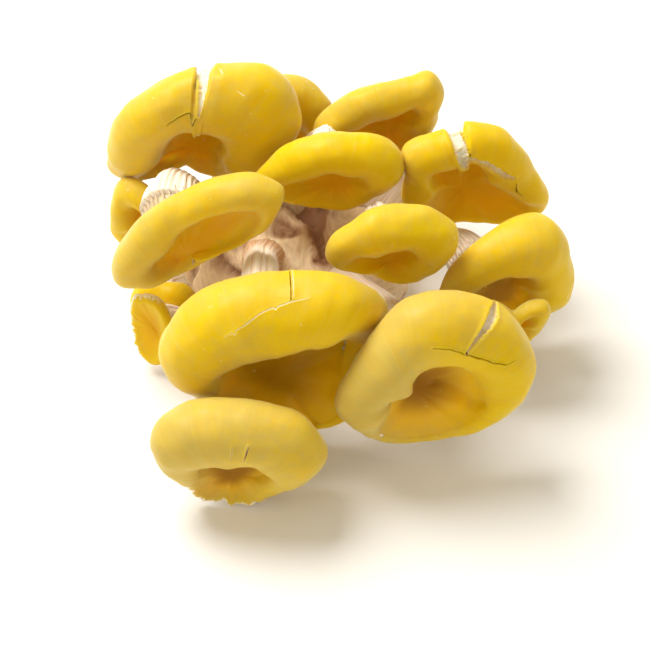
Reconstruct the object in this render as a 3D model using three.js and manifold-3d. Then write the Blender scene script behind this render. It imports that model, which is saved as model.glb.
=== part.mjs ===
// A cluster of yellow oyster mushrooms, picked whole and laid down on the cut face of its butt.
// Stems fan out of one knobbly butt, and each carries a funnel-shaped cap with a rolled rim.
// Millimetres, +Z up. The origin is the centre of the cut face, and the caps mostly face -Y.
import * as THREE from 'three';
import Module from 'manifold-3d';
import { mergeVertices } from 'three/addons/utils/BufferGeometryUtils.js';

const wasm = await Module();
wasm.setup();

// Clear space between two pieces that touch, so that each stays a solid of its own.
const GAP = 0.3;

// Angles round a cap's rolled rim: 0 points outwards, 90 up to the crest and 180 back to the stem.
// A wide roll starts at the funnel's wall and curls under, and a thin one is hardly turned.
const WALL_ANGLE = { thin: 112, wide: 168 };
const CURL_ANGLE = { thin: 20, wide: -45 };
const ROLL_WIDTH = { thin: 3, wide: 12 };
// Where the gill side leaves the inside of the roll.
const GILL_ANGLE = { thin: 118, wide: 158 };
// Thickness of the cap's edge at the end of the roll.
const MARGIN = 1.2;
// The flesh takes up at most this share of the roll's radius.
const FLESH_SHARE = 0.75;
// How straight the funnel's wall and its gill side leave their ends, as shares of their length.
const WALL_PULL = 0.45;
const GILL_PULL = 0.3;
// How far each may sag on its way below the pit and below the flesh there, as shares of its length.
const WALL_SAG = 0.02;
const GILL_SAG = 0.1;
// The gill side turns down to the neck at least this far below the flesh of the pit.
const NECK_CLEARANCE = 0.5;

// Faces along each stretch of a cap's section.
const WALL_STEPS = 3;
const ROLL_STEPS = 4;
const UNDER_STEPS = 2;
const NECK_STEPS = 3;

// A stem leaves square to its cap's neck and ends inside the butt, in one bend. This share of its
// length leads it into the butt. The inside of the bend stays clear of the bend's own centre.
const ROOT_LEAD = 0.35;
const STEM_SUNK = 6;
const STEM_WAIST = 0.25;
const BEND_SHARE = 0.5;
const STEM_SIDES = 8;
const STEM_STEPS = 6;

// The butt is a rounded lump that swells at the root of each stem.
const BUTT_CENTRE = new THREE.Vector3(0, 0, 4);
const BUTT_RADII = new THREE.Vector3(27, 23, 22);
const BUTT_DETAIL = 5;
const SWELL_HEIGHT = 3;
const SWELL_LIMIT = 1.5;
const SWELL_TIGHTNESS = 14;

const SKIN = { color: 0xf2cc1e, roughness: 0.5, metalness: 0 };
const STEM = { color: 0xf3e6d2, roughness: 0.7, metalness: 0 };
const BUTT = { color: 0xe3c3a6, roughness: 0.8, metalness: 0 };

// Each mushroom. pit is the lowest point of the cap's hollow. The cap's top faces right and up by
// these angles from -Y, and is then turned anticlockwise by spin. Its rim is listed by the hours of
// a clock seen from the front: [hour, reach from the pit to the outer line, width of the roll, rise
// of the crest over the pit]. The neck, where the stem takes over, lies drop behind the pit and is
// moved by seat, right and up in the cap's own plane. The stem leads out of the neck for this share
// of its length, leans aside further down, and enters the butt at root. sides is the number of faces
// round the cap.
const MUSHROOMS = [
  {
    name: 'front_right',
    pit: [30, -53.7, 24],
    faces: { right: 5, up: 22 },
    spin: 0,
    rim: [
      [0, 26, 19, 12], [1, 29, 19, 12], [2, 31, 17, 11], [3, 29, 13, 8], [4, 23, 7, 3],
      [5, 18, 4, 0.5], [6, 17, 3, -1], [7, 17.5, 4, 0.5], [7.8, 17, 7, 6], [8.4, 18, 11, 10],
      [9, 20, 13, 11], [10, 18.5, 15, 12], [11, 20.5, 18, 12],
    ],
    sides: 20,
    seat: [-1, 8],
    drop: 8,
    neck: 6,
    flesh: 3.4,
    lead: 0.5,
    root: [15, -19, 18],
    lean: [0, 0, 0],
  },
  {
    name: 'front_middle',
    pit: [-4.5, -48.8, 22],
    faces: { right: 0, up: 18 },
    spin: 0,
    rim: [
      [0, 30.5, 21, 13], [0.7, 32.5, 21, 13], [1.2, 34.5, 20, 12], [1.7, 34, 15, 5], [2.2, 31, 12, -1],
      [2.8, 25, 9, -3], [3.5, 22, 6, -3], [4.2, 23.5, 5, -1], [5, 20, 4, -1], [6, 16, 4, 0],
      [7, 16, 4, 1], [8, 17, 5, 3], [8.7, 21, 8, 6], [9.2, 27, 14, 10], [9.8, 31, 18, 12],
      [10.5, 31, 20, 13], [11.2, 30.5, 21, 13],
    ],
    sides: 22,
    seat: [-4, 18],
    drop: 9,
    neck: 6,
    flesh: 3.4,
    lead: 0.5,
    root: [-10, -4, 21],
    lean: [4, -8, 0],
  },
  {
    name: 'front_low',
    pit: [-15.5, -69.7, 9.1],
    faces: { right: -3, up: 20 },
    spin: 0,
    rim: [
      [0, 24, 17.5, 13], [0.8, 25, 17.5, 13], [1.5, 27, 18, 12.5], [2.1, 26.5, 16.5, 11],
      [2.7, 21.5, 14, 7], [3.3, 14, 8, 4], [4.2, 10.5, 4, 2], [5, 10.5, 3, 1], [5.7, 9.5, 3, 0.5],
      [7, 10.2, 3, 0.5], [7.8, 12.3, 3, 0.5], [8.4, 13, 4, 2], [8.9, 14, 6, 4], [9.5, 18, 10, 7],
      [10.3, 24, 15.5, 10.5], [11, 24.7, 17, 12],
    ],
    sides: 20,
    seat: [-6, 7],
    drop: 7,
    neck: 5,
    flesh: 3,
    lead: 0.08,
    root: [-10, -22, 8],
    lean: [-12, 0, -8],
  },
  {
    name: 'left',
    pit: [-27.5, -16.5, 32],
    faces: { right: -5, up: 10 },
    spin: 30,
    rim: [
      [0.3, 19, 11, 10], [0.9, 22, 11, 10], [1.4, 26, 11, 9.5], [1.8, 30, 11, 9], [2.2, 34, 11, 9],
      [2.5, 35, 10, 8], [2.9, 27, 8, 6], [3.4, 11, 6, 3], [4.2, 5.5, 4, 2], [5.5, 4.5, 3, 1],
      [7, 5.5, 3, 1], [8, 8, 4, 2], [8.7, 14, 8, 6], [9.5, 19, 11, 9], [10.3, 18, 11, 10],
      [11, 17, 11, 10], [11.7, 17.5, 11, 10],
    ],
    sides: 22,
    seat: [0, 10],
    drop: 8,
    neck: 7.6,
    flesh: 3,
    lead: 0.6,
    root: [-23, 4, 19],
    lean: [-4, 0, 5],
  },
  {
    name: 'middle',
    pit: [10.5, 2, 38],
    faces: { right: 0, up: 10 },
    spin: 0,
    rim: [
      [0.3, 19, 11.5, 9.5], [0.9, 20, 12, 9.5], [1.5, 21, 12, 9], [2.1, 20, 11, 8], [2.8, 15, 8, 5],
      [3.6, 10, 5, 3], [5, 8, 4, 2], [6, 7.5, 4, 2], [7, 8, 4, 2], [8, 11, 4, 2.5],
      [8.6, 15, 5, 4], [9.2, 22, 6, 5], [9.8, 20.5, 9, 7.5], [10.5, 19.5, 11, 9], [11.3, 19, 11, 9.5],
    ],
    sides: 20,
    seat: [-3, 9],
    drop: 6,
    neck: 4,
    flesh: 3,
    lead: 0.36,
    root: [3, 12, 24],
    lean: [-9, -6, 0],
  },
  {
    name: 'middle_right',
    pit: [24, -22, 35],
    faces: { right: 5, up: 15 },
    spin: 0,
    rim: [
      [0.4, 19, 12, 10], [1.1, 20, 12, 9.5], [1.8, 20, 12, 9], [2.4, 17.5, 11, 7], [3.2, 13, 8, 5],
      [4, 10, 6, 3], [5, 7.5, 4, 2], [6, 6, 3.5, 1.5], [7, 5, 3, 1.5], [8, 5, 3, 2],
      [8.9, 9, 4, 4], [9.6, 17, 7, 6], [10.2, 18.5, 9, 8], [10.9, 17.5, 11, 9.5], [11.6, 18.5, 12, 10],
    ],
    sides: 18,
    seat: [-1, 8],
    drop: 7,
    neck: 4.5,
    flesh: 3,
    lead: 0.35,
    root: [18, 1, 18],
    lean: [3, -4, 0],
  },
  {
    name: 'right',
    pit: [53.5, -19, 18],
    faces: { right: 15, up: 12 },
    spin: 0,
    rim: [
      [0.4, 26.5, 16, 12], [0.8, 27.5, 17, 12], [1.3, 25, 16, 11], [1.8, 21.5, 14, 10], [2.4, 19.5, 12, 9],
      [3, 18, 11, 8], [3.6, 16, 9, 6], [4.2, 13, 7, 4], [5, 10, 5, 2], [6, 8, 4, 1],
      [7, 8, 3.5, 1], [8, 11, 4, 3], [9, 17, 5, 6], [9.7, 20, 7, 8], [10.4, 21, 9, 9],
      [11.2, 22.5, 11, 10], [11.8, 24, 13, 11],
    ],
    sides: 22,
    seat: [-6, 8],
    drop: 8,
    neck: 6,
    flesh: 3.4,
    lead: 0.5,
    root: [24, -4, 16],
    lean: [0, 0, 0],
  },
  {
    name: 'right_back',
    pit: [43.5, 6.5, 32],
    faces: { right: 10, up: 12 },
    spin: -5,
    rim: [
      [0, 23, 11, 10], [0.8, 21.5, 12, 10], [1.5, 20, 12, 10], [2.2, 20, 12, 9], [3, 23, 10, 8],
      [3.4, 24, 7, 5], [4, 20, 5, 3], [5, 12, 4, 2], [6, 10, 3.5, 1.5], [7, 12, 3.5, 2],
      [8, 15, 5, 4], [9, 16.5, 8, 7], [9.8, 18, 10, 9], [10.5, 24, 11, 10], [11.3, 22, 11, 10],
    ],
    sides: 22,
    seat: [-2, 4],
    drop: 7,
    neck: 6,
    flesh: 3.4,
    lead: 0.5,
    root: [20, 9, 16],
    lean: [0, 0, 0],
  },
  {
    name: 'back_left',
    pit: [-25.5, 18.5, 36],
    faces: { right: -5, up: 10 },
    spin: 0,
    rim: [
      [0, 26, 17, 13], [0.7, 29, 20, 13], [1.4, 31.5, 23, 12.5], [2.2, 29.5, 23, 11.5],
      [3, 23, 18, 9], [4, 15.5, 10, 5], [5, 11, 5, 2], [6, 9, 3.5, 1], [7, 8, 4, 1],
      [7.8, 14, 7, 4], [8.5, 25, 13, 9], [8.9, 24, 14, 12], [9.5, 24, 15, 13], [10.5, 24, 15, 13.5],
      [11.3, 25, 15, 13.5],
    ],
    sides: 22,
    seat: [0, 6],
    drop: 8,
    neck: 6,
    flesh: 3.4,
    lead: 0.65,
    root: [-11, 13, 18],
    lean: [-9, 2, -4],
  },
  {
    name: 'back_middle',
    pit: [-3, 34, 28.5],
    faces: { right: 10, up: 10 },
    spin: 0,
    rim: [
      [0, 18.5, 12, 10], [1.5, 15.5, 12, 10], [3, 13, 9, 7], [4.5, 10, 6, 4], [6, 8, 4, 2],
      [7.5, 10, 6, 4], [9, 15, 10, 8], [10.5, 18, 12, 10],
    ],
    sides: 12,
    seat: [0, 3],
    drop: 7,
    neck: 5,
    flesh: 3,
    lead: 0.6,
    root: [1, 20, 12],
    lean: [0, 5, -6],
  },
  {
    name: 'back_right',
    pit: [24, 27.5, 34],
    faces: { right: 10, up: 8 },
    spin: 10,
    rim: [
      [0, 17, 10, 9], [0.5, 17.5, 10, 9], [1, 19.5, 10, 9], [1.4, 22, 11, 9], [1.9, 20, 10, 8],
      [2.5, 15, 9, 7], [3.4, 13, 7, 5], [4.5, 11, 5, 3], [6, 10, 4, 2], [7.5, 11, 5, 3],
      [9, 17, 8, 7], [10, 21, 9, 9], [10.6, 19, 10, 9], [11.3, 18, 10, 9],
    ],
    sides: 18,
    seat: [0, 3],
    drop: 7,
    neck: 5,
    flesh: 3,
    lead: 0.5,
    root: [12, 17, 16],
    lean: [0, 4, -4],
  },
  {
    name: 'left_back',
    pit: [-38, 7, 20],
    faces: { right: -25, up: 10 },
    spin: 0,
    rim: [
      [0, 13, 8, 8], [1.5, 8, 6, 6], [3, 7, 5.5, 5], [4.5, 7.5, 4.5, 3], [6, 10, 4, 3],
      [7.2, 12, 6, 6], [8, 11.5, 7, 7], [9, 10.5, 8, 8], [10, 12.5, 8, 8], [11, 15.5, 8, 8],
    ],
    sides: 12,
    seat: [0, 2],
    drop: 5,
    neck: 4,
    flesh: 2.6,
    lead: 0.5,
    root: [-20, 6, 12],
    lean: [0, 0, 0],
  },
  {
    name: 'left_under',
    pit: [-34.8, -12.5, 7],
    faces: { right: -10, up: 25 },
    spin: 0,
    rim: [
      [0, 8, 7, 6], [1.5, 10, 7, 6], [3, 9.2, 6, 4], [4.5, 7, 4, 2], [6, 6, 3, 2],
      [7.5, 7, 4, 2], [9, 9, 6, 5], [10.5, 10, 7, 6],
    ],
    sides: 12,
    seat: [0, 2],
    drop: 4,
    neck: 3.5,
    flesh: 2.4,
    lead: 0.5,
    root: [-22, -6, 8],
    lean: [0, 0, 0],
  },
  {
    name: 'left_low',
    pit: [-37, -25.7, 13],
    faces: { right: -30, up: 20 },
    spin: 0,
    rim: [
      [0, 11, 4, 2.5], [1.5, 8, 4, 2.5], [3, 7, 4, 2], [4.5, 8, 3.5, 1], [6, 11, 3, 0.5],
      [7, 10, 3, 0.5], [8, 8, 3, 0.5], [9, 8, 3, 1], [10.3, 10, 3.5, 2], [11, 12, 4, 2.5],
    ],
    sides: 12,
    seat: [0, 2],
    drop: 4,
    neck: 3.5,
    flesh: 2.4,
    lead: 0.2,
    root: [-19, -13, 7],
    lean: [3, -10, -4],
  },
  {
    name: 'right_under',
    pit: [56, -32.5, 22],
    faces: { right: 10, up: 25 },
    spin: 0,
    rim: [
      [0.9, 9, 6, 5], [1.6, 11, 6, 5], [2.5, 9, 6, 4], [3.5, 7, 4, 2], [4.5, 6, 3, 1],
      [6, 6, 3, 1], [8, 7, 4, 2], [9.5, 11.5, 6, 5], [10.7, 12, 6, 5], [11.9, 6, 5, 4],
    ],
    sides: 14,
    seat: [0, 0],
    drop: 4,
    neck: 3,
    flesh: 2.4,
    lead: 0.08,
    root: [22, -13, 7],
    lean: [3, -14, -12],
  },
];

const radians = THREE.MathUtils.degToRad;
const { lerp, clamp, smoothstep } = THREE.MathUtils;

// The value at an hour of the clock, from rows that start with their hour. The curve passes
// through every row and doesn't swing past them.
function atHour(rows, hour, column) {
  const row = (k) => rows[(k + rows.length) % rows.length];
  const span = (k) => (row(k + 1)[0] - row(k)[0] + 12) % 12;
  const slope = (k) => (row(k + 1)[column] - row(k)[column]) / span(k);
  const lean = (k) => {
    const product = slope(k - 1) * slope(k);
    return product <= 0 ? 0 : (2 * product) / (slope(k - 1) + slope(k));
  };
  const before = rows.findLastIndex((entry) => entry[0] <= hour);
  const t = ((hour - row(before)[0] + 12) % 12) / span(before);
  const start = (2 * t + 1) * (1 - t) ** 2 * row(before)[column];
  const end = (3 - 2 * t) * t ** 2 * row(before + 1)[column];
  const bend = t * (1 - t) ** 2 * lean(before) - t ** 2 * (1 - t) * lean(before + 1);
  return start + end + span(before) * bend;
}

// A point on a circle of the section, in the plane of (distance from the axis, height).
function onRoll(centre, radius, degrees) {
  const angle = radians(degrees);
  return new THREE.Vector2(centre.x + radius * Math.cos(angle), centre.y + radius * Math.sin(angle));
}

// The cap's section at an hour, from the pit over the crest, round the rim's edge, and back under
// the flesh to the neck: a list of (distance from the axis, height).
function capSection(mushroom, hour) {
  const [reach, width, rise] = [1, 2, 3].map((column) => atHour(mushroom.rim, hour, column));
  const radius = width / 2;
  const centre = new THREE.Vector2(reach - radius, rise - radius);
  const turn = smoothstep(width, ROLL_WIDTH.thin, ROLL_WIDTH.wide);
  const wallAngle = lerp(WALL_ANGLE.thin, WALL_ANGLE.wide, turn);
  const curlAngle = lerp(CURL_ANGLE.thin, CURL_ANGLE.wide, turn);
  const gillAngle = lerp(GILL_ANGLE.thin, GILL_ANGLE.wide, turn);
  const flesh = Math.min(mushroom.flesh, radius * FLESH_SHARE);
  const points = [];

  const wallTop = onRoll(centre, radius, wallAngle);
  const upTheWall = new THREE.Vector2(Math.sin(radians(wallAngle)), -Math.cos(radians(wallAngle)));
  const wallLength = wallTop.length();
  const wallRoom = (Math.max(wallTop.y, 0) + wallLength * WALL_SAG) / upTheWall.y;
  const wall = new THREE.CubicBezierCurve(
    new THREE.Vector2(0, 0),
    new THREE.Vector2(wallLength * WALL_PULL, 0),
    wallTop.clone().addScaledVector(upTheWall, -Math.min(wallLength * WALL_PULL, wallRoom)),
    wallTop,
  );
  for (let i = 0; i < WALL_STEPS; i++) {
    points.push(wall.getPoint(i / WALL_STEPS));
  }
  for (let i = 0; i <= ROLL_STEPS; i++) {
    points.push(onRoll(centre, radius, lerp(wallAngle, curlAngle, i / ROLL_STEPS)));
  }
  for (let i = 0; i <= UNDER_STEPS; i++) {
    const t = i / UNDER_STEPS;
    const thickness = lerp(Math.min(MARGIN, flesh), flesh, clamp(2 * t, 0, 1));
    points.push(onRoll(centre, radius - thickness, lerp(curlAngle, gillAngle, t)));
  }

  const gillTop = points[points.length - 1];
  const downTheGills = new THREE.Vector2(-Math.sin(radians(gillAngle)), Math.cos(radians(gillAngle)));
  const neck = new THREE.Vector2(mushroom.neck, -mushroom.drop);
  const gillLength = gillTop.distanceTo(neck);
  const gillRoom = (Math.max(gillTop.y, 0) + mushroom.flesh + gillLength * GILL_SAG) / -downTheGills.y;
  const neckRoom = mushroom.drop - mushroom.flesh - NECK_CLEARANCE;
  const gills = new THREE.CubicBezierCurve(
    gillTop,
    gillTop.clone().addScaledVector(downTheGills, Math.min(gillLength * GILL_PULL, gillRoom)),
    new THREE.Vector2(neck.x, neck.y + Math.min(gillLength * GILL_PULL, neckRoom)),
    neck,
  );
  for (let i = 1; i <= NECK_STEPS; i++) {
    points.push(gills.getPoint(i / NECK_STEPS));
  }
  points.push(new THREE.Vector2(0, -mushroom.drop));
  return points;
}

// The frame of a mushroom's cap: x to its right, y to 12 o'clock and z the way its top faces.
function capFrame(mushroom) {
  const right = radians(mushroom.faces.right);
  const up = radians(mushroom.faces.up);
  const level = Math.cos(up);
  const z = new THREE.Vector3(Math.sin(right) * level, -Math.cos(right) * level, Math.sin(up));
  const x = new THREE.Vector3(0, 0, 1).cross(z).normalize();
  const y = z.clone().cross(x);
  const frame = new THREE.Matrix4().makeBasis(x, y, z);
  frame.multiply(new THREE.Matrix4().makeRotationZ(radians(mushroom.spin)));
  return frame.setPosition(...mushroom.pit);
}

// The cap in its own frame: a lathe form whose section changes with the hour. Its last rings move
// over to the neck.
function capGeometry(mushroom) {
  const rings = capSection(mushroom, 0).length;
  const profile = Array.from({ length: rings }, (_, ring) => {
    const onAxis = ring === 0 || ring === rings - 1;
    return new THREE.Vector2(onAxis ? 0 : 1, -ring);
  });
  const geometry = new THREE.LatheGeometry(profile, mushroom.sides);
  const position = geometry.getAttribute('position');
  const gillTopRing = rings - 2 - NECK_STEPS;
  for (let side = 0; side <= mushroom.sides; side++) {
    const hour = (12 * (side % mushroom.sides)) / mushroom.sides;
    const angle = radians(hour * 30);
    capSection(mushroom, hour).forEach((point, ring) => {
      const moved = smoothstep((ring - gillTopRing) / NECK_STEPS, 0, 1);
      const x = point.x * Math.sin(angle) + moved * mushroom.seat[0];
      const y = point.x * Math.cos(angle) + moved * mushroom.seat[1];
      position.setXYZ(side * rings + ring, x, y, point.y);
    });
  }
  return geometry;
}

// The line of a stem, from the back of its cap to its root in the butt.
function stemLine(mushroom) {
  const frame = capFrame(mushroom);
  const start = new THREE.Vector3(...mushroom.seat, -mushroom.drop - GAP).applyMatrix4(frame);
  const outOfCap = new THREE.Vector3(0, 0, -1).transformDirection(frame);
  const root = new THREE.Vector3(...mushroom.root);
  const intoButt = BUTT_CENTRE.clone().sub(root).normalize();
  const end = root.addScaledVector(intoButt, STEM_SUNK);
  const lean = new THREE.Vector3(...mushroom.lean);
  const length = start.distanceTo(end);
  return new THREE.CubicBezierCurve3(
    start,
    start.clone().addScaledVector(outOfCap, length * mushroom.lead),
    end.clone().addScaledVector(intoButt, -length * ROOT_LEAD).add(lean),
    end,
  );
}

// The rings of a stem: its place, the directions across it, and the way and room of its bend.
function stemRings(mushroom) {
  const line = stemLine(mushroom);
  const across = new THREE.Vector3(1, 0, 0).transformDirection(capFrame(mushroom));
  return Array.from({ length: STEM_STEPS + 1 }, (_, step) => {
    const [before, here, after] = [-1, 0, 1].map((k) => clamp((step + k) / STEM_STEPS, 0, 1));
    const along = line.getTangent(here);
    across.addScaledVector(along, -across.dot(along)).normalize();
    const bend = line.getTangent(after).sub(line.getTangent(before));
    const room = (BEND_SHARE * line.getPoint(after).distanceTo(line.getPoint(before))) / bend.length();
    const side = along.clone().cross(across);
    return { place: line.getPoint(here), across: across.clone(), side, inwards: bend.normalize(), room };
  });
}

// The stem: a cylinder bent along its line, with a slight waist.
function stemGeometry(mushroom) {
  const rings = stemRings(mushroom);
  const geometry = new THREE.CylinderGeometry(1, 1, 1, STEM_SIDES, STEM_STEPS);
  const position = geometry.getAttribute('position');
  const point = new THREE.Vector3();
  const out = new THREE.Vector3();
  for (let i = 0; i < position.count; i++) {
    point.fromBufferAttribute(position, i);
    const along = 0.5 - point.y;
    const radius = mushroom.neck * (1 - STEM_WAIST * Math.sin(Math.PI * along));
    const { place, across, side, inwards, room } = rings[Math.round(along * STEM_STEPS)];
    out.copy(across).multiplyScalar(point.x * radius).addScaledVector(side, point.z * radius);
    out.addScaledVector(inwards, -Math.max(out.dot(inwards) - room, 0)).add(place);
    position.setXYZ(i, out.x, out.y, out.z);
  }
  return geometry;
}

// The butt, grown all over by the given amount.
function buttGeometry(grown) {
  const geometry = new THREE.IcosahedronGeometry(1, BUTT_DETAIL);
  const position = geometry.getAttribute('position');
  const way = new THREE.Vector3();
  const roots = MUSHROOMS.map(({ root }) => new THREE.Vector3(...root).sub(BUTT_CENTRE).normalize());
  for (let i = 0; i < position.count; i++) {
    way.fromBufferAttribute(position, i).normalize();
    const swell = roots.reduce((sum, root) => sum + Math.exp(SWELL_TIGHTNESS * (way.dot(root) - 1)), 0);
    const radius = 1 / way.clone().divide(BUTT_RADII).length();
    way.multiplyScalar(radius + SWELL_HEIGHT * Math.min(swell, SWELL_LIMIT) + grown).add(BUTT_CENTRE);
    position.setXYZ(i, way.x, way.y, way.z);
  }
  return geometry;
}

// A closed geometry as a solid, and back.
function solidOf(geometry) {
  const bare = geometry.clone();
  bare.deleteAttribute('normal');
  bare.deleteAttribute('uv');
  const merged = mergeVertices(bare, 1e-4);
  return new wasm.Manifold(new wasm.Mesh({
    numProp: 3,
    vertProperties: merged.getAttribute('position').array,
    triVerts: new Uint32Array(merged.index.array),
  }));
}

function geometryOf(solid) {
  const { vertProperties, triVerts } = solid.getMesh();
  const geometry = new THREE.BufferGeometry();
  geometry.setAttribute('position', new THREE.BufferAttribute(vertProperties, 3));
  geometry.setIndex(new THREE.BufferAttribute(triVerts, 1));
  return geometry;
}

function named(name, geometry, finish) {
  geometry.computeVertexNormals();
  const mesh = new THREE.Mesh(geometry, new THREE.MeshStandardMaterial(finish));
  mesh.name = name;
  return mesh;
}

const group = new THREE.Group();
const underground = solidOf(new THREE.BoxGeometry(200, 200, 100).translate(0, 0, -50));
group.add(named('butt', geometryOf(solidOf(buttGeometry(0)).subtract(underground)), BUTT));
const clearOfButt = solidOf(buttGeometry(GAP));
for (const mushroom of MUSHROOMS) {
  const cap = named(`cap_${mushroom.name}`, capGeometry(mushroom), SKIN);
  cap.applyMatrix4(capFrame(mushroom));
  const stem = solidOf(stemGeometry(mushroom)).subtract(clearOfButt);
  group.add(cap, named(`stem_${mushroom.name}`, geometryOf(stem), STEM));
}
export default group;
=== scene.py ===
"""A cluster of yellow oyster mushrooms, picked whole and laid on the cut face of its butt.

Each cap is one spun skin laid over a funnel with a rolled rim, with blades of gill beneath it. The
stems are ribbed where the gills run down them, and all of them spring from one knobbly butt.
Lengths are in millimetres until a mesh is finished, and clock hours are seen from a cap's front.
"""
import math
import random

import bmesh
import bpy
from mathutils import Matrix, Vector, kdtree, noise


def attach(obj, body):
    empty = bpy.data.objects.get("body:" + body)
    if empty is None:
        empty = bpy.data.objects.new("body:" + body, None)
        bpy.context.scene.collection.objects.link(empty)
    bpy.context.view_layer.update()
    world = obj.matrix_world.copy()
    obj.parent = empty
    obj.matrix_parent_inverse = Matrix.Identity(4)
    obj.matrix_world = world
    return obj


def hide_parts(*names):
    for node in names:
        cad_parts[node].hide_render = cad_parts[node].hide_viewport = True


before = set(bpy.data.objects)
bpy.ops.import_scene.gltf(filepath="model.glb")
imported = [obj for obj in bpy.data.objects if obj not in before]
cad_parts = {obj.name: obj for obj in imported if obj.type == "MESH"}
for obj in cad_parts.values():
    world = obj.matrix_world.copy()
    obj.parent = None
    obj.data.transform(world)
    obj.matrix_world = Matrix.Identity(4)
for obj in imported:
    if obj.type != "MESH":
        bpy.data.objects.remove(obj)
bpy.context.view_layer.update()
# Without a seed of its own, Blender's noise moves everything a little from run to run.
noise.seed_set(7)

MM = 0.001

# Angles round a rolled rim: 0 points outwards, 90 up to the crest and 180 back to the stem. Each
# has a value for a thin rim and one for a wide roll, of the widths in ROLL_WIDTH.
WALL_ANGLE = (112, 168)
CURL_ANGLE = (20, -45)
GILL_ANGLE = (118, 158)
ROLL_WIDTH = (3, 12)
LEAST_CURL = 25
# Flesh: how thick it is at the margin, and its largest share of a roll's radius.
MARGIN = 1.1
FLESH_SHARE = 0.75
# Flesh left between two blades of gill, as a share of the whole and at least so much.
BARE_SHARE = 0.62
BARE_LEAST = 1.7
# How far the wall and the gills run straight on at their ends and may sag, by their length.
WALL_PULL = 0.45
GILL_PULL = 0.3
WALL_SAG = 0.02
GILL_SAG = 0.1
# How high the gills stand at the neck, and the flesh left over it.
NECK_GILL = 1.0
NECK_CLEARANCE = 0.5

# Rings along each stretch of a cap's section, and sides round a cap.
WALL, ROLL, EDGE, UNDER, NECK = 30, 34, 6, 14, 18
ROLL_START = WALL
EDGE_START = ROLL_START + ROLL
UNDER_START = EDGE_START + EDGE
NECK_START = UNDER_START + UNDER
NECK_END = NECK_START + NECK
CAP_SIDES = 216
SMALL_CAP_SIDES = 120
# The least flesh between a cap's skin and its underside, and over a blade of gill.
LEAST_FLESH = 0.5
LEAST_OVER_GILL = 0.45

# Gills: long ones reach the stem, and shorter ones fill in between them towards the margin. Each row
# has (share of the way to the neck, blades to each long one, place between two long ones).
LONG_GILLS = 26
SMALL_CAP_GILLS = 16
GILL_ROWS = ((1.0, 1, 0.0), (0.62, 1, 0.5), (0.3, 2, 0.5))
GILL_THICKNESS = 0.36
GILL_STEPS = 13
GILL_STRAY = 0.06
GILL_WAVER = 0.09
GILL_ROOTED = -0.12

ROOT_LEAD = 0.35
STEM_SUNK = 6
STEM_WAIST = 0.25
STEM_FOOT = 0.35
BEND_SHARE = 0.5
SIDES_TO_A_RIB = 7
STEM_RINGS = 72
STEM_OVERLAP = 2.5
OFF_THE_TABLE = 0.05
GAP = 0.3

BUTT_CENTRE = Vector((0, 0, 4))
BUTT_RADII = Vector((27, 23, 22))
SWELL_HEIGHT = 3
SWELL_LIMIT = 1.5
SWELL_TIGHTNESS = 14

# Unevenness, each as (millimetres from bump to bump, millimetres high).
SWAY = ((17, 0.7), (6, 0.22))
CAP_LUMPS = ((12, 0.5), (5, 0.35), (2, 0.06))
BUTT_LUMPS = ((9, 2.2), (4, 0.5), (1.6, 0.08))

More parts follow.
